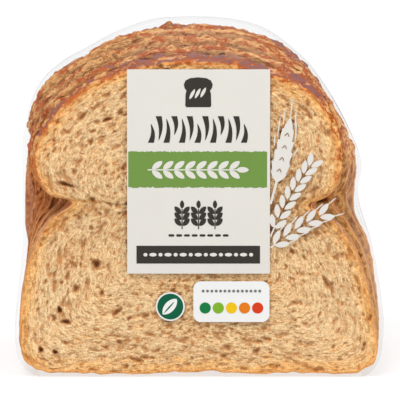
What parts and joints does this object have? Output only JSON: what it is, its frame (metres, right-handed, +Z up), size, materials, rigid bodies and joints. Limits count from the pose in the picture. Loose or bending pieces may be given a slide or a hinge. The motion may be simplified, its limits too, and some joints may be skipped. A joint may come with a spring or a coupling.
{
  "type": "packed half loaf of sliced tiger bread",
  "caption": "Half a loaf of sliced wholemeal tiger bread in a tight clear film pack with a printed front, standing on its base crust.",
  "frame": {"origin": "on the table, under the middle of the pack", "axes": "+Z up, -Y out of the printed front over the front slice's cut face, +X to the right seen from the front"},
  "size_m": [0.132, 0.118, 0.1216],
  "materials": {
    "bread": "open wholemeal crumb, golden under the crust, with a crackled brown tiger crust",
    "film": "thin clear glossy film, pulled tight",
    "cream_print": "cream ink printed on film",
    "green_print": "leaf green ink printed on film",
    "dark_print": "warm dark grey ink printed on film",
    "badge_print": "deep green ink printed on film",
    "white_print": "white ink printed on film"
  },
  "bodies": {
    "root": {"bread_bag": "bread", "label_panel": "cream_print", "label_band": "green_print", "label_strip": "dark_print", "round_badge": "badge_print", "dot_panel": "white_print", "wheat_ear_1": "cream_print", "wheat_ear_2": "cream_print", "wheat_ear_3": "cream_print", "back_seal": "film"}
  },
  "joints": []
}
